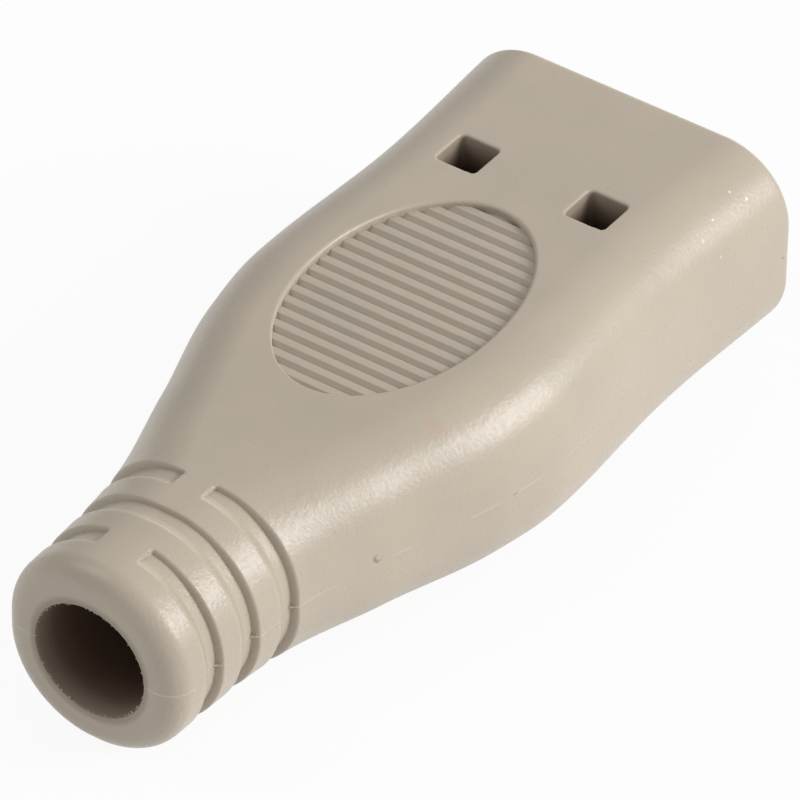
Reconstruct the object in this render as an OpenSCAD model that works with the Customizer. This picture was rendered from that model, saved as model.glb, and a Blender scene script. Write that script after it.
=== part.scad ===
// Hood of a USB-A cable plug: one moulded cover, open at the plug end, with
// a round grooved neck for the cable. Millimetres, +Z up, +X to the plug end,
// centred on X and Y, standing on Z = 0.

/* [Body] */
// length from the cable end to the plug end
hood_length = 36.3; // [35.5:0.1:39]
// thickness of the body at the plug end
hood_thickness = 8.95; // [8.75:0.05:9.5]
// width across the shoulders
shoulder_width = 15.55; // [15.3:0.05:16.2]
// distance of the shoulders from the cable end
shoulder_at = 20.6; // [19.6:0.1:21.6]
// width at the waist behind the plug end
waist_width = 14.75; // [14.4:0.05:15.2]
// distance of the waist from the plug end
waist_setback = 7.25; // [6.25:0.05:8.25]
// width at the plug end
mouth_width = 15.4; // [15:0.05:16]
// radius of the long edges of the body
body_corner = 3.15; // [2.6:0.05:3.4]
// rounding of the outer edge at the plug end
mouth_edge = 0.2; // [0.1:0.05:0.4]
// distance from the cable end to where the body reaches full thickness
crown_at = 24.4; // [23.5:0.1:26]

/* [Neck] */
// width of the neck at the cable end
neck_width = 8.2; // [7.9:0.05:8.5]
// height of the neck at the cable end
neck_height = 8.55; // [8.2:0.05:8.7]
// rounding of the outer edge at the cable end
nose_edge = 0.85; // [0.5:0.05:1.1]
// width where the neck starts to flare
collar_width = 9.15; // [8.9:0.05:9.6]
// distance from the cable end to where the neck starts to flare
collar_at = 7.05; // [6.6:0.05:7.6]
// lowest height, in the throat past the grooves
throat_height = 8.15; // [7.95:0.05:8.4]
// distance of the throat from the cable end
throat_at = 10; // [9:0.1:11]
// width halfway up the flare
flare_width = 11.7; // [11.2:0.05:12.3]
// width where the flare turns into the shoulders
flare_top_width = 14.75; // [14.2:0.05:15.1]

/* [Relief grooves] */
// distance of the body-side wall of the first groove from the cable end
groove_at = 2.75; // [2.5:0.05:3]
// spacing from the first groove to the middle one
groove_pitch = 2.15; // [1.7:0.05:2.3]
// spacing from the middle groove to the last one
groove_pitch_last = 2.25; // [1.8:0.05:2.4]
// width of each groove along the neck
groove_width = 1; // [0.6:0.05:1.2]
// depth of each groove
groove_depth = 0.33; // [0.2:0.01:0.45]
// width of the bridges that interrupt the first groove
bridge_first = 1.95; // [1.2:0.05:2.6]
// width of the bridges that interrupt the last groove
bridge_last = 1.4; // [1:0.05:2]

/* [Oval panel] */
// length of the oval recess
oval_length = 13.1; // [11:0.1:13.4]
// width of the oval recess
oval_width = 8.4; // [7:0.1:8.6]
// distance of the oval's middle from the cable end
oval_at = 20.5; // [20.1:0.1:21]
// depth of the rib tops at the end nearer the cable, where the recess is shallowest
oval_lip = 0.06; // [0.04:0.01:0.25]
// slope of the recess floor, rising towards the plug end, in degrees
oval_tilt = 0.8; // [0:0.1:1.1]
// spacing of the ribs
rib_pitch = 0.72; // [0.6:0.01:0.9]
// width of the slot between two ribs, at the top
slot_width = 0.34; // [0.24:0.01:0.42]
// depth of the slots below the rib tops
slot_depth = 0.25; // [0.15:0.01:0.4]
// narrowing of a slot towards its floor, on each side
slot_draft = 0.04; // [0.01:0.01:0.08]

/* [Latch windows] */
// size of each window along the hood
window_length = 1.95; // [1.5:0.05:2.4]
// size of each window across the hood
window_width = 1.9; // [1.5:0.05:2.4]
// spacing between the two windows of a face
window_spacing = 6.15; // [5.4:0.05:6.8]
// distance of the windows' middle from the plug end
window_setback = 7.05; // [5:0.05:7.4]
// corner radius of the windows
window_corner = 0.25; // [0.1:0.05:0.5]

/* [Inside] */
// diameter of the cable bore
bore_dia = 5.1; // [4.4:0.1:5.1]
// width of the pocket for the plug
pocket_width = 12.4; // [12.1:0.05:12.6]
// height of the pocket for the plug
pocket_height = 5.2; // [5.2:0.05:5.5]
// depth of the pocket from the plug end
pocket_depth = 18.5; // [16:0.25:19.5]
// corner radius of the pocket
pocket_corner = 0.5; // [0.3:0.05:0.8]
// length of the tapered wire chamber behind the pocket
chamber_length = 5; // [3:0.25:6]
// height of the wire chamber
chamber_height = 4.6; // [4:0.05:4.9]

/* [Finish] */
// colour of the moulding
hood_color = "#B8AB99";

/* [Hidden] */
$fn = 64;

mid_z = hood_thickness / 2;
flare_share = 0.38;           // the flare's two stations, from its start to the shoulders
flare_top_share = 0.76;
flare_at = collar_at + (shoulder_at - collar_at) * flare_share;
flare_top_at = collar_at + (shoulder_at - collar_at) * flare_top_share;
neck_level_at = 4.5;          // the neck keeps its height up to here
waist_at = hood_length - waist_setback;
pocket_at = hood_length - pocket_depth;
chamber_at = pocket_at - chamber_length;
chamber_width = pocket_width - 2 * pocket_corner;
slot_least = 0.1;             // least width of the end slots where the oval cuts them
slot_count = floor((oval_length / 2 + slot_width / 2 - slot_least) / rib_pitch);
groove_walls = [groove_at, groove_at + groove_pitch,
                groove_at + groove_pitch + groove_pitch_last];
groove_bridges = [bridge_first, 0, bridge_last];

arc_steps = 10;               // facets of each long edge
ring_count = 34;              // cross-sections between the two rounded ends
edge_steps = 4;               // cross-sections of the rounded cable end
mouth_steps = 2;              // cross-sections of the rounded plug end
oval_points = 96;
flat_min = 0.12;              // least half-flat left between two round corners
clear = 1;                    // how far a cutter runs past the surface
lap = 0.5;                    // how far one cutter runs into the next

// full width and full height, as [distance from the cable end, value]
width_curve = [[0, neck_width], [collar_at, collar_width],
               [flare_at, flare_width], [flare_top_at, flare_top_width],
               [shoulder_at, shoulder_width], [waist_at, waist_width],
               [hood_length, mouth_width]];
height_curve = [[0, neck_height], [neck_level_at, neck_height],
                [throat_at, throat_height], [crown_at, hood_thickness],
                [hood_length, hood_thickness]];
// roundness of the section: 1 is fully round, 0 is the body's own corner
round_curve = [[0, 1], [neck_level_at, 1], [flare_at, 0], [hood_length, 0]];

// cubic through the knots that never overshoots them
function chord(T, i) = (T[i + 1][1] - T[i][1]) / (T[i + 1][0] - T[i][0]);
function slope(T, i) =
    i == 0 ? chord(T, 0)
    : i == len(T) - 1 ? chord(T, i - 1)
    : chord(T, i - 1) * chord(T, i) <= 0 ? 0
    : 2 * chord(T, i - 1) * chord(T, i) / (chord(T, i - 1) + chord(T, i));
function span_of(T, x, i = 0) =
    i >= len(T) - 2 || x < T[i + 1][0] ? i : span_of(T, x, i + 1);
function curve(T, x) =
    let (i = span_of(T, x), d = T[i + 1][0] - T[i][0], t = (x - T[i][0]) / d)
    T[i][1] * (2 * t * t * t - 3 * t * t + 1)
    + slope(T, i) * d * (t * t * t - 2 * t * t + t)
    + T[i + 1][1] * (3 * t * t - 2 * t * t * t)
    + slope(T, i + 1) * d * (t * t * t - t * t);

// outline of the hood across its length, drawn in by inset
function section(x, inset) =
    let (w = curve(width_curve, x) / 2, h = curve(height_curve, x) / 2,
         full = min(w, h) - flat_min, k = curve(round_curve, x),
         r = max(min(full, body_corner + (full - body_corner) * k) - inset, flat_min),
         cy = w - inset - r, cz = h - inset - r)
    [for (q = [0:3], s = [0:arc_steps])
        let (a = 90 * q + 90 * s / arc_steps)
        [(q == 1 || q == 2 ? -cy : cy) + r * cos(a),
         (q < 2 ? cz : -cz) + r * sin(a)]];

// [distance, inset] of every cross-section from the cable end to the plug end
stations = concat(
    [for (s = [0:edge_steps])
        [nose_edge * (1 - cos(90 * s / edge_steps)),
         nose_edge * (1 - sin(90 * s / edge_steps))]],
    [for (s = [1:ring_count])
        [nose_edge + (hood_length - mouth_edge - nose_edge) * s / ring_count, 0]],
    [for (s = [1:mouth_steps])
        [hood_length - mouth_edge * (1 - sin(90 * s / mouth_steps)),
         mouth_edge * (1 - cos(90 * s / mouth_steps))]]);

// stays on the neck and body: the whole outside as one skin
module outer_skin() {
    rings = [for (st = stations) [for (p = section(st[0], st[1])) [st[0], p[0], p[1]]]];
    n = len(rings[0]);
    m = len(rings);
    polyhedron(
        points = [for (ring = rings) for (p = ring) p],
        faces = concat(
            [[for (j = [0:n - 1]) j]],
            [for (i = [0:m - 2], j = [0:n - 1]) let (k = (j + 1) % n)
                [i * n + j, (i + 1) * n + j, (i + 1) * n + k]],
            [for (i = [0:m - 2], j = [0:n - 1]) let (k = (j + 1) % n)
                [i * n + j, (i + 1) * n + k, i * n + k]],
            [[for (j = [n - 1:-1:0]) (m - 1) * n + j]]));
}

// lays a flat shape across the hood and runs it along +X
module along(x, length) {
    translate([x, 0, 0]) rotate([90, 0, 90]) linear_extrude(length) children();
}

module rounded_plate(a, b, r) {
    square([a - 2 * r, b], center = true);
    square([a, b - 2 * r], center = true);
    for (i = [-1, 1], j = [-1, 1])
        translate([i * (a / 2 - r), j * (b / 2 - r)]) circle(r);
}

// ring cut round the neck, left whole under the bridges above and below
module relief_groove(wall, bridge) {
    middle = wall - groove_width / 2;
    along(wall - groove_width, groove_width) difference() {
        square(2 * collar_width, center = true);
        polygon(section(middle, groove_depth));
        if (bridge > 0) square([bridge, 2 * collar_width], center = true);
    }
}

module oval_shape() {
    polygon([for (i = [0:oval_points - 1])
        [oval_length / 2 * cos(360 * i / oval_points),
         oval_width / 2 * sin(360 * i / oval_points)]]);
}

// oval recess with a row of cross slots in its floor; Z = 0 is its rib tops here,
// and it turns about its shallow end
module oval_panel() {
    shallow_end = oval_at - oval_length / 2;
    translate([shallow_end, 0, curve(height_curve, shallow_end) / 2 - oval_lip])
        rotate([0, -oval_tilt, 0]) translate([oval_length / 2, 0, 0]) {
            linear_extrude(clear) oval_shape();
            intersection() {
                translate([0, 0, -slot_depth]) linear_extrude(slot_depth + lap) oval_shape();
                for (i = [-slot_count:slot_count])
                    translate([i * rib_pitch, 0, 0]) rotate([90, 0, 0])
                        linear_extrude(oval_width + clear, center = true) slot_shape();
            }
        }
}

// one slot from its end, drafted below the rib tops
module slot_shape() {
    top = slot_width / 2;
    foot = top - slot_draft;
    polygon([[-foot, -slot_depth - lap], [foot, -slot_depth - lap], [foot, -slot_depth],
             [top, 0], [top, 2 * lap], [-top, 2 * lap], [-top, 0], [-foot, -slot_depth]]);
}

// two windows above and two below, straight through into the pocket
module windows() {
    for (side = [-1, 1])
        translate([hood_length - window_setback, side * window_spacing / 2, 0])
            linear_extrude(hood_thickness + clear, center = true)
                rounded_plate(window_length, window_width, window_corner);
}

// plug pocket, wire chamber and cable bore in line
module cavity() {
    along(pocket_at, pocket_depth + clear)
        rounded_plate(pocket_width, pocket_height, pocket_corner);
    linear_extrude(chamber_height, center = true)
        polygon([[chamber_at, -bore_dia / 2], [pocket_at, -chamber_width / 2],
                 [pocket_at + lap, -chamber_width / 2], [pocket_at + lap, chamber_width / 2],
                 [pocket_at, chamber_width / 2], [chamber_at, bore_dia / 2]]);
    translate([-clear, 0, 0]) rotate([0, 90, 0])
        cylinder(h = clear + chamber_at + lap, d = bore_dia);
}

module hood() {
    color(hood_color) translate([-hood_length / 2, 0, mid_z]) difference() {
        outer_skin();
        for (i = [0:len(groove_walls) - 1])
            relief_groove(groove_walls[i], groove_bridges[i]);
        oval_panel();
        windows();
        cavity();
    }
}

hood();
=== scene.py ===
import bpy, bmesh, math
import numpy as np
from mathutils import Vector, Matrix
from mathutils.geometry import delaunay_2d_cdt


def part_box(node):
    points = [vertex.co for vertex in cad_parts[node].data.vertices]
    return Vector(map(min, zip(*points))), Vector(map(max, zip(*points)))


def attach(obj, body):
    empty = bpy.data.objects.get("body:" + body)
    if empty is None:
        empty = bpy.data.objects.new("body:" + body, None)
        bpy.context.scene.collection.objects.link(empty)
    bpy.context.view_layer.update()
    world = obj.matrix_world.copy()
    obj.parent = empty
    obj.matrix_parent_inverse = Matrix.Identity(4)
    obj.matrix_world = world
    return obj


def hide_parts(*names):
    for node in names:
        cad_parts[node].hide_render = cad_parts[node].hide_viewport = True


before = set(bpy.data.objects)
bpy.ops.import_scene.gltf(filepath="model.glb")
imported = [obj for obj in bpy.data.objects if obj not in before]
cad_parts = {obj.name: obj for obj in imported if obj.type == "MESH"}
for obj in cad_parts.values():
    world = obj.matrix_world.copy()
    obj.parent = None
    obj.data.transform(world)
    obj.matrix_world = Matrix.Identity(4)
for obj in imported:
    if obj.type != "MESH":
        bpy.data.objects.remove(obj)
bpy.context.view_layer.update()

scene = bpy.context.scene

# ------------------------------------------------------------------ hood cover
# The hood is one injection-moulded cover in satin beige plastic: a round neck
# for the cable, a flare up to the shoulders, a slight waist and an open mouth
# that takes the plug. Lengths here are millimetres from the cable end, with the
# middle plane of the mould at Z = 0, and they are laid into place at the end.
hood_low, hood_high = (Vector(c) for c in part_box("hood"))
cable_end, mould_middle = hood_low.x, (hood_low.z + hood_high.z) / 2
length = (hood_high.x - hood_low.x) * 1000
thickness = (hood_high.z - hood_low.z) * 1000

width_at = [(0, 8.2), (7.05, 9.15), (12.2, 11.7), (17.35, 14.75), (20.6, 15.55),
            (29.05, 14.75), (length, 15.4)]
height_at = [(0, 8.55), (4.5, 8.55), (10, 8.15), (24.4, thickness), (length, thickness)]
roundness_at = [(0, 1), (4.5, 1), (12.2, 0), (length, 0)]
long_edge, mouth_edge = 3.15, 0.2                # roundings of the long edges and of the mouth
nose_edge, nose_draw = 0.95, 1.02                # the cable end's rounding, along and across
least_flat = 0.12                                # a ring keeps this much of a flat, or of a corner


def along_hood(knots, x):
    """Smooth curve through the knots, never past them."""
    X, Y = (np.array(c, float) for c in zip(*knots))
    chord = np.diff(Y) / np.diff(X)
    slope = np.zeros(len(X))
    slope[0], slope[-1] = chord[0], chord[-1]
    for i in range(1, len(X) - 1):
        a, b = chord[i - 1], chord[i]
        slope[i] = 0 if a * b <= 0 else 2 * a * b / (a + b)
    i = np.clip(np.searchsorted(X, x, side="right") - 1, 0, len(X) - 2)
    d = X[i + 1] - X[i]
    t = (x - X[i]) / d
    return (Y[i] * (2 * t**3 - 3 * t * t + 1) + slope[i] * d * (t**3 - 2 * t * t + t)
            + Y[i + 1] * (3 * t * t - 2 * t**3) + slope[i + 1] * d * (t**3 - t * t))


def roof(x):
    """Height of the outside's flat above the middle plane."""
    return along_hood(height_at, x) / 2


# columns of points round every ring: close together where the bridges of the
# relief grooves end, and about the seam line on each side
flat_columns = [0.45, 0.75, 0.9]
corner_columns = np.radians([0, 0.6, 1.2, 1.9, 2.7, 3.6, 4.7, 5.8, 7, 8.2, 9.2]
                            + [10 + 0.6 * k for k in range(9)] + [16, 18.2]
                            + [21 + 3 * k for k in range(24)])
seam_columns = [0.6, 0.25, 0.1, 0.045, 0.0]


def ring(x, w, h, r):
    """Ring of half width w, half height h and corner radius r, from the top round."""
    cy, cz = w - r, h - r
    quarter = [(0.0, h)] + [(cy * s, h) for s in flat_columns]
    quarter += [(cy + r * math.sin(a), cz + r * math.cos(a)) for a in corner_columns]
    quarter += [(w, cz * min(1, s / 0.8)) for s in seam_columns]
    right = quarter + [(y, -z) for y, z in quarter[-2::-1]]
    return [(x, y, z) for y, z in right + [(-y, z) for y, z in right[-2:0:-1]]]


def outer_ring(x, inset=0.0):
    """Ring of the cover's outside at x, drawn in all round by inset."""
    w, h = along_hood(width_at, x) / 2, roof(x)
    full = min(w, h) - least_flat
    r = min(full, long_edge + (full - long_edge) * along_hood(roundness_at, x))
    return ring(x, w - inset, h - inset, max(r - inset, least_flat))


# stations of the rings along the outside, closer on the neck and closest at each groove
groove_walls, groove_bridges, groove_width = [2.75, 4.9, 7.15], [1.95, 0, 1.4], 1.0
neck_end, neck_step, body_step = 8.3, 0.12, 0.4
stations = list(np.arange(nose_edge + neck_step, neck_end, neck_step))
stations += list(np.arange(neck_end, length - mouth_edge - 0.05, body_step))
for wall in groove_walls:
    groove_start = wall - groove_width
    stations = [s for s in stations if not groove_start - 0.2 < s < wall + 0.36]
    stations += list(np.linspace(groove_start - 0.16, wall - 0.14, 18))
    stations += list(np.linspace(wall - 0.11, wall + 0.32, 20))
stations = sorted(stations)

# the rings run up the bore, round the cable end, along the outside, in at the
# mouth and down the plug pocket and the wire chamber, back to the bore
bore, bore_end, bore_break = 2.55, 13.0, 0.04    # radius, and the break of its edge
pocket_w, pocket_h, pocket_r = 6.2, 2.6, 0.5     # half sizes and corner of the pocket
pocket_end, pocket_break = 17.8, 0.1
rings, flat_rows = [], []
for x in (bore_end, 12, 10, 8, 6, 4, 2.4, 1.2, 0.5, 0.2):
    rings.append(ring(x, bore, bore, bore - 0.02))
for a in np.radians(np.linspace(0, 90, 4)):                  # broken edge of the bore
    radius = bore + bore_break * (1 - math.cos(a))
    rings.append(ring(bore_break * (1 - math.sin(a)), radius, radius, bore))
bore_edge = np.array(rings[-1])
for share in (0.15, 0.5, 0.85):                              # flat of the cable end
    end_edge = np.array(outer_ring(0, nose_draw))
    rings.append([tuple(p) for p in bore_edge * (1 - share) + end_edge * share])
for a in np.radians(np.linspace(0, 90, 16)):                 # rounding of the cable end
    rings.append(outer_ring(nose_edge * (1 - math.cos(a)), nose_draw * (1 - math.sin(a))))
for x in stations:
    flat_rows.append((len(rings), x))
    rings.append(outer_ring(x))
for a in np.radians(np.linspace(0, 90, 7)):                  # rounding of the mouth's outer edge
    rings.append(outer_ring(length - mouth_edge * (1 - math.sin(a)), mouth_edge * (1 - math.cos(a))))
for a in np.radians(np.linspace(0, 90, 5)):                  # broken edge of the plug pocket
    x, out = length - pocket_break * (1 - math.cos(a)), pocket_break * (1 - math.sin(a))
    rings.append(ring(x, pocket_w + out, pocket_h + out, pocket_r + out))
pocket_rows = []
for x in np.linspace(length - 0.5, pocket_end + 0.2, 21):
    pocket_rows.append((len(rings), x))
    rings.append(ring(x, pocket_w, pocket_h, pocket_r))
for x, inset in ((pocket_end + 0.06, 0.02), (pocket_end + 0.01, 0.07), (pocket_end, 0.2)):
    rings.append(ring(x, pocket_w - inset, pocket_h - inset, pocket_r - inset))
wire_chamber = [(pocket_end, 5.75, 2.36, 0.3), (pocket_end - 0.06, 5.68, 2.3, 0.3), (16, 4.5, 2.3, 0.6),
                (14.4, 3.5, 2.3, 1.2), (13.5, 2.95, 2.3, 1.7), (bore_end + 0.1, 2.62, 2.45, 2.2)]
for x, w, h, r in wire_chamber:
    rings.append(ring(x, w, h, r))

columns = len(rings[0])
bottom = columns // 2
points = np.array(rings, float).reshape(-1, 3)


def cover_mesh(name, points, faces):
    mesh = bpy.data.meshes.new(name)
    mesh.from_pydata([tuple(p) for p in points], [], faces)
    piece = bpy.data.objects.new(name, mesh)
    scene.collection.objects.link(piece)
    return piece


# the flats that hold the oval and the windows are left open, above, below and
# in the pocket, and are closed with patches further on
flats_from, pocket_flats_to = 11.5, 26.5
first_row, last_row = next(r for r in flat_rows if r[1] > flats_from), flat_rows[-1]
first_in, last_in = pocket_rows[3], next(r for r in pocket_rows if r[1] < pocket_flats_to)
flat = len(flat_columns) + 1
middle_columns = {(middle + k) % columns for middle in (0, bottom) for k in range(-flat, flat)}
faces = []
for i in range(len(rings)):
    for j in range(columns):
        in_flats = first_row[0] <= i < last_row[0] or first_in[0] <= i < last_in[0]
        if in_flats and j in middle_columns:
            continue
        k, n = (j + 1) % columns, (i + 1) % len(rings)
        faces.append((i * columns + j, n * columns + j, n * columns + k, i * columns + k))
skin = cover_mesh("skin", points, faces)


# --------------------------------------------------------------- relief grooves
# Three grooves ring the neck so that it can flex with the cable. They come from
# the mould: a steep wall on the body side, a round floor and a soft nose side,
# with bridges left across the first and the last groove.
class Sum:
    """A number in a Geometry Nodes tree, used in ordinary formulas."""
    def __init__(self, tree, socket):
        self.tree, self.socket = tree, socket

    def do(self, op, *others, flip=False):
        node = self.tree.nodes.new("ShaderNodeMath")
        node.operation = op
        terms = [self, *others]
        if flip:
            terms[0], terms[1] = terms[1], terms[0]
        for slot, term in zip(node.inputs, terms):
            if isinstance(term, Sum):
                self.tree.links.new(term.socket, slot)
            else:
                slot.default_value = float(term)
        return Sum(self.tree, node.outputs[0])

    def __add__(self, o): return self.do("ADD", o)
    def __radd__(self, o): return self.do("ADD", o)
    def __sub__(self, o): return self.do("SUBTRACT", o)
    def __rsub__(self, o): return self.do("SUBTRACT", o, flip=True)
    def __mul__(self, o): return self.do("MULTIPLY", o)
    def __rmul__(self, o): return self.do("MULTIPLY", o)
    def __truediv__(self, o): return self.do("DIVIDE", o)
    def __rtruediv__(self, o): return self.do("DIVIDE", o, flip=True)
    def __neg__(self): return self.do("MULTIPLY", -1)
    def sin(self): return self.do("SINE")
    def cos(self): return self.do("COSINE")
    def root(self): return self.do("MAXIMUM", 0).do("SQRT")
    def size(self): return self.do("ABSOLUTE")
    def least(self, o): return self.do("MINIMUM", o)
    def most(self, o): return self.do("MAXIMUM", o)
    def whole(self): return self.do("FLOOR")
    def over(self, o): return self.do("GREATER_THAN", o)

    def ease(self, start, end):
        """0 before start, 1 after end, and a smooth climb between them."""
        t = ((self - start) / (end - start)).most(0).least(1)
        return t * t * (3 - 2 * t)


class Recipe:
    """A Geometry Nodes tree with named inputs, run once to give a plain mesh."""
    def __init__(self, name, **sizes):
        self.tree = bpy.data.node_groups.new(name, "GeometryNodeTree")
        self.sizes, self.sockets = sizes, {}
        face = self.tree.interface
        face.new_socket("Geometry", in_out="INPUT", socket_type="NodeSocketGeometry")
        face.new_socket("Geometry", in_out="OUTPUT", socket_type="NodeSocketGeometry")
        for key, value in sizes.items():
            kind = "NodeSocketInt" if isinstance(value, int) else "NodeSocketFloat"
            words = key.replace("_", " ")
            self.sockets[key] = face.new_socket(words, in_out="INPUT", socket_type=kind)
        self.start = self.tree.nodes.new("NodeGroupInput")
        self.end = self.tree.nodes.new("NodeGroupOutput")

    def size(self, key):
        return Sum(self.tree, self.start.outputs[self.sockets[key].name])

    def node(self, kind, given=None, **settings):
        node = self.tree.nodes.new(kind)
        for key, value in settings.items():
            setattr(node, key, value)
        for key, value in (given or {}).items():
            slot = node.inputs[key]
            if isinstance(value, Sum):
                value = value.socket
            if isinstance(value, bpy.types.NodeSocket):
                self.tree.links.new(value, slot)
            else:
                slot.default_value = value
        return node

    def place(self):
        xyz = self.node("ShaderNodeSeparateXYZ", {0: self.node("GeometryNodeInputPosition").outputs[0]})
        return [Sum(self.tree, s) for s in xyz.outputs]

    def moved(self, geometry, x, y, z):
        xyz = self.node("ShaderNodeCombineXYZ", {"X": x, "Y": y, "Z": z})
        return self.node("GeometryNodeSetPosition", {"Geometry": geometry,
                                                     "Position": xyz.outputs[0]}).outputs[0]

    def run(self, piece, geometry, material):
        real = self.node("GeometryNodeRealizeInstances", {"Geometry": geometry})
        dressed = self.node("GeometryNodeSetMaterial", {"Geometry": real.outputs[0],
                                                        "Material": material})
        self.tree.links.new(dressed.outputs[0], self.end.inputs[0])
        modifier = piece.modifiers.new(self.tree.name, "NODES")
        modifier.node_group = self.tree
        for key, value in self.sizes.items():
            modifier[self.sockets[key].identifier] = value
        bpy.context.view_layer.update()
        finished = piece.evaluated_get(bpy.context.evaluated_depsgraph_get())
        made = bpy.data.meshes.new_from_object(finished)
        piece.modifiers.remove(modifier)
        piece.data = made
        return piece


hood_plastic = bpy.data.materials.new("satin beige moulding")

groove = Recipe("relief grooves", depth=0.34, width=groove_width, wall_round=0.12, nose_side=0.40,
                end_round=0.30, end_steepness=2.2, nose_rise=0.35, depth_on_top=0.64,
                first_wall=groove_walls[0], middle_wall=groove_walls[1], last_wall=groove_walls[2],
                first_bridge=groove_bridges[0], last_bridge=groove_bridges[2])
x, y, z = groove.place()
push = 0
for wall, bridge in (("first_wall", "first_bridge"), ("middle_wall", None),
                     ("last_wall", "last_bridge")):
    into = groove.size(wall) - x                       # distance in from the body-side wall
    inside = into
    if bridge:                                         # and from the bridge, round its corner
        along = groove.size("end_steepness") * (y.size() - 0.5 * groove.size(bridge))
        corner = groove.size("end_round")
        c1, c2 = (corner - into).most(0), (corner - along).most(0)
        inside = (corner - (c1 * c1 + c2 * c2).root()).least(into.most(-1))
    over = ((inside + groove.size("wall_round")) / (groove.size("wall_round") + 0.05)).most(0).least(1)
    steep = 1 - (1 - over * over * over).root()
    level = 1 - groove.size("nose_rise") * (into / groove.size("width")).most(0).least(1)
    nose = groove.size("width")
    soft = 1 - into.ease(nose - groove.size("nose_side"), nose + 0.1)
    push = steep * level * soft + push
# shallower over the top and the bottom than down the sides
on_top = groove.size("depth_on_top")
shallow = on_top + (1 - on_top) * y.size().ease(1.6, 3.7)
# only the outside of the neck is grooved, not the bore
from_axis, neck_inside = (y * y + z * z).root(), 3.2
push = push * shallow * groove.size("depth") * from_axis.over(neck_inside)
keep = 1 - push / from_axis
groove.run(skin, groove.moved(groove.start.outputs[0], x, y * keep, z * keep), hood_plastic)


# ------------------------------------------------------------------- oval panel
# The thumb grip on the top face is a shallow oval recess, moulded in, deeper
# towards the plug end. Its floor is a row of cross ribs with slots between them,
# cut off by the oval, and its rim is softly rounded.
oval_a, oval_b, oval_at = 6.55, 4.2, 20.5
lip, floor_rise = 0.05, 0.0105                   # depth at the cable-side tip, and rise per mm
panel = Recipe("ribbed oval", half_length=oval_a, half_width=oval_b, middle=oval_at, lines=940,
               floor_rows=4, rim_rows=7, lip=lip, floor_rise=floor_rise, rib_pitch=0.72,
               slot_width=0.35, slot_depth=0.26, slot_foot=0.07, rim_round=0.15, rim_flat=0.05)
lines, floor_rows, rim_rows = (panel.size(k) for k in ("lines", "floor_rows", "rim_rows"))
sheet_rows = 2 * (floor_rows + rim_rows)
grid = panel.node("GeometryNodeMeshGrid", {"Size X": 1.0, "Size Y": 1.0, "Vertices X": lines + 1,
                                           "Vertices Y": sheet_rows + 1})
u, v, _ = panel.place()
turn = (u + 0.5) * math.pi
row = v * sheet_rows                                   # counted from the long middle line
side = row.do("SIGN")
row = (row.size() + 0.5).whole()
across = (row / floor_rows).least(1)
rim = (row - floor_rows).most(0)                       # 0 on the floor, up to rim_rows outside
a, b = panel.size("half_length"), panel.size("half_width")
nx, ny = -1 * turn.cos() * b, turn.sin() * a           # outward direction of the oval
long = (nx * nx + ny * ny).root()
nx, ny = nx / long, ny / long
px = panel.size("middle") - a * turn.cos()
from_tip = px - (panel.size("middle") - a)
# height of the cover's flat over the oval, as a short curve from tip to tip
beyond_tip, curve_steps = 0.4, 16
curve_x = [oval_at - oval_a - beyond_tip + k * (2 * oval_a + 2 * beyond_tip) / curve_steps
           for k in range(curve_steps + 1)]
curve_z = [roof(x) for x in curve_x]


def roof_curve(recipe, x):
    """The same height as roof(), inside a Geometry Nodes tree."""
    node = recipe.node("ShaderNodeFloatCurve")
    start, end, lowest, highest = curve_x[0], curve_x[-1], min(curve_z), max(curve_z)
    curve = node.mapping.curves[0]
    for k, (cx, cz) in enumerate(zip(curve_x, curve_z)):
        place = ((cx - start) / (end - start), (cz - lowest) / (highest - lowest))
        if k in (0, curve_steps):
            curve.points[0 if k == 0 else -1].location = place
        else:
            curve.points.new(*place)
    node.mapping.update()
    recipe.tree.links.new(((x - start) / (end - start)).socket, node.inputs["Value"])
    return Sum(recipe.tree, node.outputs[0]) * (highest - lowest) + lowest


tip_roof = roof(oval_at - oval_a)
floor = tip_roof - panel.size("lip") + from_tip * panel.size("floor_rise")
# one slot: a sheer wall on the cable side and a leaning one up to the next rib
phase = (px - panel.size("middle")) / panel.size("rib_pitch") + 0.5
phase = (phase - phase.whole() - 0.5) * panel.size("rib_pitch")        # from the slot's middle
into = phase + 0.5 * panel.size("slot_width")
foot = panel.size("slot_foot")
lean = ((into - foot) / (panel.size("slot_width") - foot)).most(0).least(1)
slot = into.ease(-0.02, 0.03) * (1 - lean * (0.75 + 0.25 * lean)) * panel.size("slot_depth")
recess = roof_curve(panel, px) - floor
rounding = panel.size("rim_round").least(0.85 * recess)
bend = ((rim - 1) / (rim_rows - 2)).most(0).least(1) * (math.pi / 2)
outwards = rounding * (1 - bend.cos()) + rim.over(rim_rows - 0.5) * panel.size("rim_flat")
out_x = px + nx * outwards
up = roof_curve(panel, out_x) - rounding * (1 - bend.sin())
on_rim = rim.over(0.5)
z = on_rim * up + (1 - on_rim) * (floor - slot)
y = side * (across * b * turn.sin() + ny * outwards)
ribbed_oval = cover_mesh("ribbed_oval", [(0, 0, 0)], [])
panel.run(ribbed_oval, panel.moved(grid.outputs[0], out_x, y, z), hood_plastic)


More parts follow.
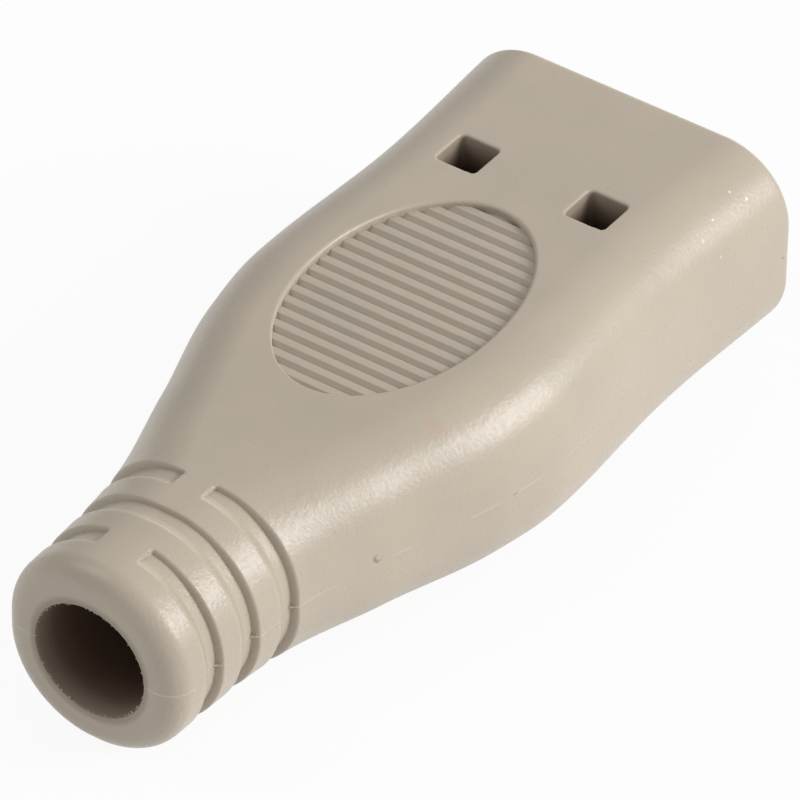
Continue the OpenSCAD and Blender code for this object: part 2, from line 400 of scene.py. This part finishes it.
# ---------------------------------------------------------------- latch windows
# Two windows above and two below go straight through into the plug pocket, where
# the spring contacts of the plug's shell stand. Their rims are softer on the side
# away from the cable.
window_at, window_aside = length - 7.05, 6.15 / 2
window = Recipe("latch windows", half_length=1.95 / 2, half_width=1.9 / 2, corner=0.25,
                soft_rim=0.14, crisp_rim=0.05, rim_flat=0.03, foot_flat=0.06,
                roof_above_middle=thickness / 2, pocket_above_middle=pocket_h,
                at=window_at, aside=window_aside, points_round=64, rows=11)
round_pts, rows = window.size("points_round"), window.size("rows")
grid = window.node("GeometryNodeMeshGrid", {"Size X": 1.0, "Size Y": 1.0, "Vertices X": round_pts + 1,
                                            "Vertices Y": rows + 1})
u, v, _ = window.place()
step = ((u + 0.5) * round_pts + 0.5).whole()
step = step - (step / round_pts + 0.001).whole() * round_pts
quarter = (step / (round_pts / 4) + 0.001).whole()
local = (step - quarter * (round_pts / 4)) / (round_pts / 4 - 1)
angle = (quarter + local) * (math.pi / 2)
middle_angle = (quarter + 0.5) * (math.pi / 2)
sx, sy = middle_angle.cos().do("SIGN"), middle_angle.sin().do("SIGN")
r = window.size("corner")
dx, dy = angle.cos(), angle.sin()
px = sx * (window.size("half_length") - r) + dx * r
py = sy * (window.size("half_width") - r) + dy * r
soft = (0.75 * dx + 0.65 * dy).ease(-0.2, 0.9)         # 1 on the far rims
rim = window.size("crisp_rim") + (window.size("soft_rim") - window.size("crisp_rim")) * soft
row = ((v + 0.5) * rows + 0.5).whole()                 # 0 in the pocket, the last on the roof
bend = ((row - 2) / (rows - 3)).most(0).least(1) * (math.pi / 2)
last_row_out = window.size("soft_rim") + window.size("rim_flat") - rim
outwards = rim * (1 - bend.cos()) + row.over(rows - 0.5) * last_row_out
outwards = outwards + (1 - row.over(0.5)) * window.size("foot_flat")
up = window.size("roof_above_middle") - rim * (1 - bend.sin())
low_z = window.size("pocket_above_middle") + row.over(0.5) * window.size("foot_flat")
wall = row.over(1.5)
z = wall * up + (1 - wall) * low_z
tube = window.moved(grid.outputs[0], px + dx * outwards, py + dy * outwards, z)
places = window.node("GeometryNodeMeshLine", {"Count": 2, "Offset": (0, 0, 0)},
                     count_mode="TOTAL", mode="OFFSET")
index = Sum(window.tree, window.node("GeometryNodeInputIndex").outputs[0])
either_side = window.node("ShaderNodeCombineXYZ", {"X": window.size("at"),
                                                  "Y": window.size("aside") * (2 * index - 1)})
above = window.node("GeometryNodeSetPosition", {"Geometry": places.outputs[0],
                                                "Position": either_side.outputs[0]})
pair = window.node("GeometryNodeInstanceOnPoints", {"Points": above.outputs[0], "Instance": tube})
flip = window.node("GeometryNodeTransform", {"Geometry": pair.outputs[0], "Rotation": (math.pi, 0, 0)})
both = window.node("GeometryNodeJoinGeometry", {0: pair.outputs[0]})
window.tree.links.new(flip.outputs[0], both.inputs[0])
latch_windows = cover_mesh("latch_windows", [(0, 0, 0)], [])
window.run(latch_windows, both.outputs[0], hood_plastic)


# ------------------------------------------------------------- closing the cover
# The flats above, below and inside the cover are one with the rest of it: they
# run from the long edges up to the rims of the oval and of the windows.
weld_gap = 2e-5


def welded(piece):
    """Merges the doubled points of a piece made from a grid."""
    bm = bmesh.new()
    bm.from_mesh(piece.data)
    bmesh.ops.remove_doubles(bm, verts=bm.verts, dist=weld_gap)
    loose = [v for v in bm.verts if not v.link_faces]
    bmesh.ops.delete(bm, geom=loose, context="VERTS")
    bmesh.ops.dissolve_degenerate(bm, dist=1e-6, edges=bm.edges)
    bm.to_mesh(piece.data)
    bm.free()


def open_loops(piece):
    """Points along each open edge loop of a piece."""
    bm = bmesh.new()
    bm.from_mesh(piece.data)
    left = dict.fromkeys(e for e in bm.edges if len(e.link_faces) == 1)     # kept in order
    loops = []
    while left:
        edge = next(iter(left))
        del left[edge]
        start, at = edge.verts
        loop = [start.co.copy(), at.co.copy()]
        while True:
            following = [e for e in at.link_edges if e in left]
            if not following:
                break
            edge = following[0]
            del left[edge]
            at = edge.other_vert(at)
            if at == start:
                break
            loop.append(at.co.copy())
        loops.append(loop)
    bm.free()
    return loops


for piece in (ribbed_oval, latch_windows):
    welded(piece)
holes = open_loops(ribbed_oval) + open_loops(latch_windows)


clear_of_edge, on_edge = 0.13, 2e-4


def flat_patch(name, rows, height, side, holes):
    """A flat with holes between two columns of the skin, its height a function of x."""
    middle, turn = (0, 1) if side > 0 else (bottom, -1)
    across = [(middle + turn * k) % columns for k in range(-flat, flat + 1)]
    outline = [rows[0][0] * columns + k for k in across]
    outline += [i * columns + across[-1] for i, x in rows[1:-1]]
    outline += [rows[-1][0] * columns + k for k in across[::-1]]
    outline += [i * columns + across[0] for i, x in rows[-2:0:-1]]
    spots = [Vector(points[k][:2]) for k in outline]
    loops = [list(range(len(spots)))]
    for hole in holes:
        loops.append(list(range(len(spots), len(spots) + len(hole))))
        spots += [Vector(p[:2]) for p in hole]
    edges = [(a, b) for loop in loops for a, b in zip(loop, loop[1:] + loop[:1])]
    edge_xy = np.array([tuple(p) for p in spots])
    edge_z = [points[k][2] for k in outline] + [p.z for hole in holes for p in hole]
    for i, x in rows[1:-1]:
        reach = abs(points[i * columns + across[-1]][1])
        for y in np.linspace(-reach, reach, 21)[1:-1]:
            if np.min(np.hypot(*(edge_xy - (x, y)).T)) > clear_of_edge:
                spots.append(Vector((x, y)))
    verts, _, made, _, _, _ = delaunay_2d_cdt(spots, edges, [], 0, 1e-7)
    # triangles inside a hole, or past the outline, are left out
    loop_xy = [np.array([tuple(spots[k]) for k in loop]) for loop in loops]

    def inside(loop, x, y):
        ax, ay = loop.T
        bx, by = np.roll(ax, -1), np.roll(ay, -1)
        cross = (ay > y) != (by > y)
        crossing_x = (bx - ax) * (y - ay) / np.where(by == ay, 1e-12, by - ay) + ax
        return np.sum(cross & (x < crossing_x)) % 2 == 1

    faces = []
    for f in made:
        x, y = np.mean([verts[k] for k in f], axis=0)
        if inside(loop_xy[0], x, y) and not any(inside(l, x, y) for l in loop_xy[1:]):
            faces.append(f)
    laid = []
    for p in verts:
        gap = np.hypot(*(edge_xy - (p.x, p.y)).T)
        k = int(np.argmin(gap))
        laid.append((p.x, p.y, edge_z[k] if gap[k] < on_edge else side * height(p.x)))
    return cover_mesh(name, laid, faces)


def holes_in(height, side, rows):
    """The open loops of the oval and the windows that lie in this flat."""
    lo, hi = sorted((rows[0][1], rows[-1][1]))
    return [h for h in holes
            if lo < h[0].x < hi and all(abs(side * height(p.x) - p.z) < 0.02 for p in h)]


def pocket_roof(x):
    return pocket_h


outer_rows = [r for r in flat_rows if first_row[0] <= r[0] <= last_row[0]]
inner_rows = [r for r in pocket_rows if first_in[0] <= r[0] <= last_in[0]]
patches = []
for side, tag in ((1, "top"), (-1, "bottom")):
    for place, rows, height in (("flat", outer_rows, roof), ("pocket_flat", inner_rows, pocket_roof)):
        found = holes_in(height, side, rows)
        patches.append(flat_patch(f"{tag}_{place}", rows, height, side, found))

joined = bmesh.new()
for piece in [skin, ribbed_oval, latch_windows] + patches:
    joined.from_mesh(piece.data)
    bpy.data.objects.remove(piece)
bmesh.ops.remove_doubles(joined, verts=joined.verts, dist=weld_gap)
bmesh.ops.dissolve_degenerate(joined, dist=1e-6, edges=joined.edges)
bmesh.ops.recalc_face_normals(joined, faces=joined.faces)
if joined.calc_volume(signed=True) < 0:
    bmesh.ops.reverse_faces(joined, faces=joined.faces)
sharp = math.radians(50)
for f in joined.faces:
    f.smooth = True
for e in joined.edges:
    if len(e.link_faces) == 2 and e.calc_face_angle(0) > sharp:
        e.smooth = False
# painted shade: a per-point amount by which the inside of the cover is coloured darker
painted_shade_layer = joined.verts.layers.float.new("painted_inner_shade")


def climb(value, start, end):
    t = min(1, max(0, (value - start) / (end - start)))
    return t * t * (3 - 2 * t)


def rib_tops(x):
    return tip_roof - lip + floor_rise * (x - (oval_at - oval_a))


def painted_shade_at(x, y, z):
    """Painted shade at a point of the cover, 0 to 1, more the further it is from open air."""
    wide, tall = abs(y), abs(z)
    window_x, window_y = abs(x - window_at), abs(wide - window_aside)
    chamber_wide = 2.8 + 0.62 * (x - bore_end + 0.2)
    # painted shade: darker deeper in the bore, the wire chamber, the plug pocket and the windows' walls
    if x < bore_end + 0.3 and math.hypot(y, z) < bore + 0.2:
        return climb(x, -1.3, 1.8)
    if bore_end - 0.3 < x < pocket_end + 0.15 and tall < pocket_h and wide < chamber_wide:
        return 1.0
    if x > pocket_end - 0.1 and tall < pocket_h + 0.04 and wide < pocket_w + 0.05:
        beside_window = math.hypot(window_x, window_y) < 1.8
        return max(climb(length - x, 0.0, 7.0), 0.85 if beside_window else 0)
    if window_x < 1.2 and window_y < 1.2 and tall < thickness / 2 - 0.06:
        return climb(thickness / 2 - tall, -0.35, 1.0)
    # painted shade: a dark line coloured along the foot of each slot
    if abs(x - oval_at) < oval_a + 0.05 and z > 0 and wide < oval_b:      # foot of a slot
        return 0.42 * climb(rib_tops(x) - z, 0.11, 0.25)
    return 0.0


for v in joined.verts:
    v[painted_shade_layer] = painted_shade_at(*v.co)
into_place = Matrix.Translation((cable_end, 0, mould_middle)) @ Matrix.Scale(0.001, 4)
joined.transform(into_place)
hood_mesh = bpy.data.meshes.new("moulded_hood")
joined.to_mesh(hood_mesh)
joined.free()
hood = bpy.data.objects.new("moulded_hood", hood_mesh)
scene.collection.objects.link(hood)
hood_mesh.materials.append(hood_plastic)


# satin plastic: beige right through, with the fine orange peel of a spark-eroded
# mould in its sheen, and a little unevenness in colour and gloss
hood_plastic.use_nodes = True
nodes, links = hood_plastic.node_tree.nodes, hood_plastic.node_tree.links
plastic = nodes["Principled BSDF"]
where = nodes.new("ShaderNodeTexCoord").outputs["Object"]


def pattern(kind, scale, **given):
    node = nodes.new(kind)
    links.new(where, node.inputs["Vector"])
    node.inputs["Scale"].default_value = scale
    for key, value in given.items():
        node.inputs[key].default_value = value
    return node


def between(value, low_in, high_in, low_out, high_out):
    node = nodes.new("ShaderNodeMapRange")
    links.new(value, node.inputs["Value"])
    for key, number in (("From Min", low_in), ("From Max", high_in), ("To Min", low_out), ("To Max", high_out)):
        node.inputs[key].default_value = number
    return node.outputs["Result"]


def blended(share, one, other, kind="MIX"):
    node = nodes.new("ShaderNodeMix")
    node.data_type, node.blend_type = "RGBA", kind
    for slot, value in zip((node.inputs[0], node.inputs[6], node.inputs[7]), (share, one, other)):
        if isinstance(value, bpy.types.NodeSocket):
            links.new(value, slot)
        else:
            slot.default_value = value if slot.type == "VALUE" else (*value, 1)
    return node.outputs[2]


def sums(op, *terms):
    node = nodes.new("ShaderNodeMath")
    node.operation = op
    for slot, term in zip(node.inputs, terms):
        if isinstance(term, bpy.types.NodeSocket):
            links.new(term, slot)
        else:
            slot.default_value = term
    return node.outputs[0]


def times(first, *others):
    for other in others:
        first = sums("MULTIPLY", first, other)
    return first


def plus(first, second):
    return sums("ADD", first, second)


split = nodes.new("ShaderNodeSeparateXYZ")
links.new(where, split.inputs[0])
at_x, at_y, at_z = split.outputs


def spot(x, y, z, rx, ry, rz):
    """1 at a place on the cover, falling to 0 at the edge of an ellipsoid round it."""
    parts = []
    for at, place, reach in ((at_x, cable_end + x / 1000, rx), (at_y, y / 1000, ry),
                             (at_z, mould_middle + z / 1000, rz)):
        d = sums("DIVIDE", sums("SUBTRACT", at, place), reach / 1000)
        parts.append(times(d, d))
    return between(plus(plus(parts[0], parts[1]), parts[2]), 1.0, 0.25, 0.0, 1.0)


def along_cover(start, end, low=0.0, high=1.0):
    """Goes from low to high between two distances from the cable end, in mm."""
    return between(at_x, cable_end + start / 1000, cable_end + end / 1000, low, high)


deep_beige, pale_beige = (0.452, 0.395, 0.316), (0.482, 0.414, 0.330)
# the middle one of these is a painted highlight, for glints beside the mouth
seam_colour, painted_glint_colour, speck_colour = (0.62, 0.56, 0.48), (0.80, 0.77, 0.70), (0.72, 0.68, 0.60)
# the first of these is painted shade for the dent of the nick
nick_shade_colour, hair_colour, blush_colour = (0.20, 0.15, 0.10), (0.10, 0.08, 0.06), (0.55, 0.26, 0.22)
# painted shade colour for the inside, where little light reaches
painted_inner_shade_colour = (0.125, 0.074, 0.046)
peel_height, flow_height, seam_height, nick_depth = 0.000020, 0.000016, 0.00002, 0.00006    # m


peel = pattern("ShaderNodeTexNoise", 6400, Detail=2.0, Roughness=0.5)
flow = pattern("ShaderNodeTexNoise", 900, Detail=3.0, Roughness=0.6, Distortion=0.6)
cloud = pattern("ShaderNodeTexNoise", 240, Detail=2.0)
tone = between(cloud.outputs["Fac"], 0.3, 0.7, 0, 1)
colour = blended(tone, deep_beige, pale_beige)
# the parting line of the mould runs down both sides and across the cable end
waver = times(sums("SUBTRACT", flow.outputs["Fac"], 0.5), 0.00012)
off_middle = sums("ABSOLUTE", sums("SUBTRACT", at_z, plus(mould_middle, waver)))
seam = between(off_middle, 0.00007, 0.00001, 0.0, 1.0)
broken = between(pattern("ShaderNodeTexNoise", 700, Detail=2.0).outputs["Fac"], 0.42, 0.58, 0.0, 1.0)
on_end, on_sides = along_cover(1.2, 0.9), along_cover(24.5, 22)
seam = times(seam, sums("MAXIMUM", on_end, times(broken, on_sides)))
# small marks left by handling: a nick beside the parting line, whose dark crescent is painted shade, a hair, a
# blush, pale specks; and painted glints beside the mouth, a painted highlight
# painted shade: a dark crescent on one side of the nick, as its dent would be shaded; the bump presses the dent
# in
nick_and_shade = times(spot(10.96, -5.49, 0.24, 0.24, 0.6, 0.24),
             sums("SUBTRACT", 1.0, spot(11.05, -5.49, 0.30, 0.20, 0.6, 0.20)))
hair = spot(17.52, -7.41, 0.0, 0.16, 0.5, 0.035)
blush = spot(15.2, -5.3, 3.76, 0.35, 0.8, 0.5)
cells, speckled_areas = pattern("ShaderNodeTexVoronoi", 420), pattern("ShaderNodeTexNoise", 150)
specks = times(between(cells.outputs["Distance"], 0.035, 0.02, 0, 1),
               between(speckled_areas.outputs["Fac"], 0.56, 0.6, 0, 1))
glint_cells = pattern("ShaderNodeTexVoronoi", 1500)
# painted highlight: pale glints coloured onto the corner beside the mouth
painted_glints = times(spot(33.4, -6.7, 3.1, 2.6, 1.6, 1.6),
              between(glint_cells.outputs["Distance"], 0.13, 0.09, 0, 1))
for mark, share, tint in ((seam, 0.6, seam_colour), (painted_glints, 0.75, painted_glint_colour), (nick_and_shade, 0.4, nick_shade_colour),
                          (hair, 0.75, hair_colour), (blush, 0.14, blush_colour),
                          (specks, 0.5, speck_colour)):
    colour = blended(times(mark, share), colour, tint)
# painted shade: the inside is coloured a deep warm brown, more so deeper in, standing in for the shade where
# little light reaches
inside = nodes.new("ShaderNodeAttribute")
inside.attribute_name = "painted_inner_shade"
colour = blended(inside.outputs["Fac"], colour, painted_inner_shade_colour)
links.new(colour, plastic.inputs["Base Color"])
links.new(plus(between(peel.outputs["Fac"], 0.3, 0.7, 0.27, 0.40), times(inside.outputs["Fac"], 0.4)),
          plastic.inputs["Roughness"])
plastic.inputs["Specular IOR Level"].default_value = 0.5
plastic.inputs["Subsurface Weight"].default_value = 0.10
plastic.inputs["Subsurface Radius"].default_value = (1.0, 0.7, 0.42)
plastic.inputs["Subsurface Scale"].default_value = 0.0005
# the mould's skin: orange peel, stronger on the neck, with faint flow marks
neck_grain = along_cover(12, 4, 0.55, 1.0)
below_flat = between(at_z, mould_middle + 0.0042, mould_middle + 0.0036, 0.0, 1.0)
side_marks = plus(times(below_flat, 0.85), 0.15)
grain = plus(times(peel.outputs["Fac"], neck_grain, side_marks, peel_height),
             times(flow.outputs["Fac"], side_marks, flow_height))
grain = plus(grain, times(seam, seam_height))
grain = sums("SUBTRACT", grain, times(nick_and_shade, nick_depth))
dimple = nodes.new("ShaderNodeBump")
dimple.inputs["Distance"].default_value = 1.0
dimple.inputs["Strength"].default_value = 1.0
links.new(grain, dimple.inputs["Height"])
links.new(dimple.outputs["Normal"], plastic.inputs["Normal"])

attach(hood, "root")
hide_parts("hood")


# ------------------------------------------------------------------- flash nibs
# Where the core pin and the two mould halves met, a little plastic squeezed out
# and tore off: fine ragged nibs round the bore and one in each groove, at the seam.
nibs = Recipe("flash nibs", bore_radius=2.53, set_in=0.05, tries=150, share_left_off=0.55,
              longest=0.10, stoutest=0.05, seed=7)
mouth = nibs.node("GeometryNodeMeshCircle", {"Vertices": nibs.size("tries"),
                                             "Radius": nibs.size("bore_radius")})
x, y, _ = nibs.place()
upright = nibs.node("ShaderNodeCombineXYZ", {"X": nibs.size("set_in"), "Y": x, "Z": y})
round_bore = nibs.node("GeometryNodeSetPosition", {"Geometry": mouth.outputs[0],
                                                   "Position": upright.outputs[0]})


def chance(low, high, seed_step):
    """A random number for each point of the bore's edge."""
    node = nibs.node("FunctionNodeRandomValue", data_type="FLOAT")
    node.inputs[2].default_value, node.inputs[3].default_value = low, high
    nibs.tree.links.new((nibs.size("seed") + seed_step).socket, node.inputs["Seed"])
    return Sum(nibs.tree, node.outputs[1])


kept = chance(0.0, 1.0, 0).over(nibs.size("share_left_off"))
spike = nibs.node("GeometryNodeMeshCone", {"Vertices": 5, "Side Segments": 1, "Radius Top": 0.0,
                                           "Radius Bottom": 1.0, "Depth": 1.0})
_, place_y, place_z = nibs.place()
inwards = nibs.node("ShaderNodeCombineXYZ", {"X": chance(-0.6, 0.1, 3), "Y": -1 * place_y,
                                            "Z": -1 * place_z})
facing = nibs.node("FunctionNodeAlignRotationToVector", {"Vector": inwards.outputs[0]}, axis="Z")
stout = nibs.size("stoutest") * chance(0.35, 1.0, 1)
tall = nibs.size("longest") * chance(0.15, 1.0, 2)
sizes = nibs.node("ShaderNodeCombineXYZ", {"X": stout, "Y": stout, "Z": tall})
grown = nibs.node("GeometryNodeInstanceOnPoints", {
    "Points": round_bore.outputs[0], "Selection": kept, "Instance": spike.outputs[0],
    "Rotation": facing.outputs[0], "Scale": sizes.outputs[0]})
flash = cover_mesh("flash_nibs", [(0, 0, 0)], [])
nibs.run(flash, grown.outputs[0], hood_plastic)
torn = bmesh.new()
torn.from_mesh(flash.data)


def nib(corners, sides):
    spots = [torn.verts.new(c) for c in corners]
    for side in sides:
        torn.faces.new([spots[k] for k in side])


# webs torn off in the grooves, at the seam: each point is past the wall, in from
# the neck's side, and above the seam
web_points = [(0.02, 0.06, 0.05), (0.02, 0.06, -0.05), (0.02, 0.32, 0.07),
              (0.02, 0.32, -0.07), (-0.26, 0.31, 0.0), (-0.10, 0.14, 0.0)]
web_sides = [(0, 1, 5), (0, 5, 2), (2, 5, 4), (1, 3, 5), (3, 4, 5), (0, 2, 3), (0, 3, 1), (2, 4, 3)]
for wall in groove_walls:
    half = along_hood(width_at, wall) / 2
    for side in (-1, 1):
        nib([(wall + a, side * (half - b), c) for a, b, c in web_points], web_sides)
# and one nub at the seam beside the mouth
nub_points = [(-0.12, 0, 0), (0.12, 0, 0), (0, 0, 0.14), (0, 0, -0.14), (0, 0.13, 0)]
nub_sides = [(0, 2, 4), (2, 1, 4), (1, 3, 4), (3, 0, 4), (0, 1, 2), (0, 3, 1)]
nub_in, nub_aside = length - 0.45, 7.62
nib([(nub_in + a, -nub_aside - b, c) for a, b, c in nub_points], nub_sides)
torn.transform(into_place)
bmesh.ops.recalc_face_normals(torn, faces=torn.faces)
# the nibs get no painted shade
torn.verts.layers.float.new("painted_inner_shade")            # all 0: the nibs catch the light
torn.to_mesh(flash.data)
torn.free()
flash.data.materials.clear()
flash.data.materials.append(hood_plastic)
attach(flash, "root")


# ------------------------------------------------------------------ white table
# The hood lies on its back face on a seamless white sweep, which stays white to
# the eye and takes only a faint shadow from the broad lamps.
reach, table_z, white_share = 3, -0.00001, 0.92          # m, just clear of the hood's back face
sweep_mesh = bpy.data.meshes.new("white_table")
sweep_mesh.from_pydata([(x, y, table_z) for x, y in ((-reach, -reach), (reach, -reach), (reach, reach),
                                                    (-reach, reach))], [], [(0, 1, 2, 3)])
table_top = bpy.data.objects.new("white_table", sweep_mesh)
scene.collection.objects.link(table_top)
white = bpy.data.materials.new("white sweep")
white.use_nodes = True
n, l = white.node_tree.nodes, white.node_tree.links
matt = n["Principled BSDF"]
matt.inputs["Base Color"].default_value = (0.8, 0.8, 0.8, 1)
matt.inputs["Roughness"].default_value = 0.9
glow = n.new("ShaderNodeEmission")
glow.inputs["Strength"].default_value = 1.0
ray = n.new("ShaderNodeLightPath")
seen = ray.outputs["Is Camera Ray"]
for other in ("Is Glossy Ray", "Is Transmission Ray"):
    either = n.new("ShaderNodeMath")
    either.operation = "MAXIMUM"
    l.new(seen, either.inputs[0])
    l.new(ray.outputs[other], either.inputs[1])
    seen = either.outputs[0]
share = n.new("ShaderNodeMath")
share.operation = "MULTIPLY"
share.inputs[1].default_value = white_share
mix = n.new("ShaderNodeMixShader")
l.new(seen, share.inputs[0])
l.new(share.outputs[0], mix.inputs[0])
l.new(matt.outputs[0], mix.inputs[1])
l.new(glow.outputs[0], mix.inputs[2])
l.new(mix.outputs[0], n["Material Output"].inputs["Surface"])
sweep_mesh.materials.append(white)


# -------------------------------------------------------------- lamps and camera
# Three broad soft lamps: the main one over the near side of the hood, a weaker
# one beyond it and one at the plug end, with a pale room all round.
hood_heart = Vector((0, 0, 0.004))


def soft_lamp(name, place, size, watts):
    lamp = bpy.data.lights.new(name, "AREA")
    lamp.shape, lamp.size, lamp.energy = "SQUARE", size, watts
    holder = bpy.data.objects.new(name, lamp)
    holder.location = place
    holder.rotation_euler = (hood_heart - Vector(place)).to_track_quat("-Z", "Y").to_euler()
    scene.collection.objects.link(holder)


soft_lamp("near side lamp", (0.19, -0.41, 0.22), 0.26, 2.1)
soft_lamp("far side lamp", (-0.16, 0.24, 0.40), 0.24, 0.38)
soft_lamp("back lamp", (0.48, 0.12, 0.10), 0.30, 0.45)

room = bpy.data.worlds.new("pale room")
scene.world = room
room.use_nodes = True
backdrop = room.node_tree.nodes["Background"]
backdrop.inputs["Color"].default_value = (1, 1, 1, 1)
backdrop.inputs["Strength"].default_value = 0.47

view = bpy.data.cameras.new("camera")
view.lens, view.sensor_width = 402.03, 36
view.clip_start, view.clip_end = 0.01, 20
camera = bpy.data.objects.new("camera", view)
camera_at = (-0.220512, -0.15419, 0.224691)
forward = Vector((0.63707, 0.44113, -0.63209)).normalized()
right = Vector((0.57647, -0.81704, 0.01082))
right = (right - forward * right.dot(forward)).normalized()
upwards = right.cross(forward)
turned = Matrix((right, upwards, -forward)).transposed().to_4x4()
camera.matrix_world = Matrix.Translation(camera_at) @ turned
scene.collection.objects.link(camera)
scene.camera = camera

scene.view_settings.view_transform = "Standard"
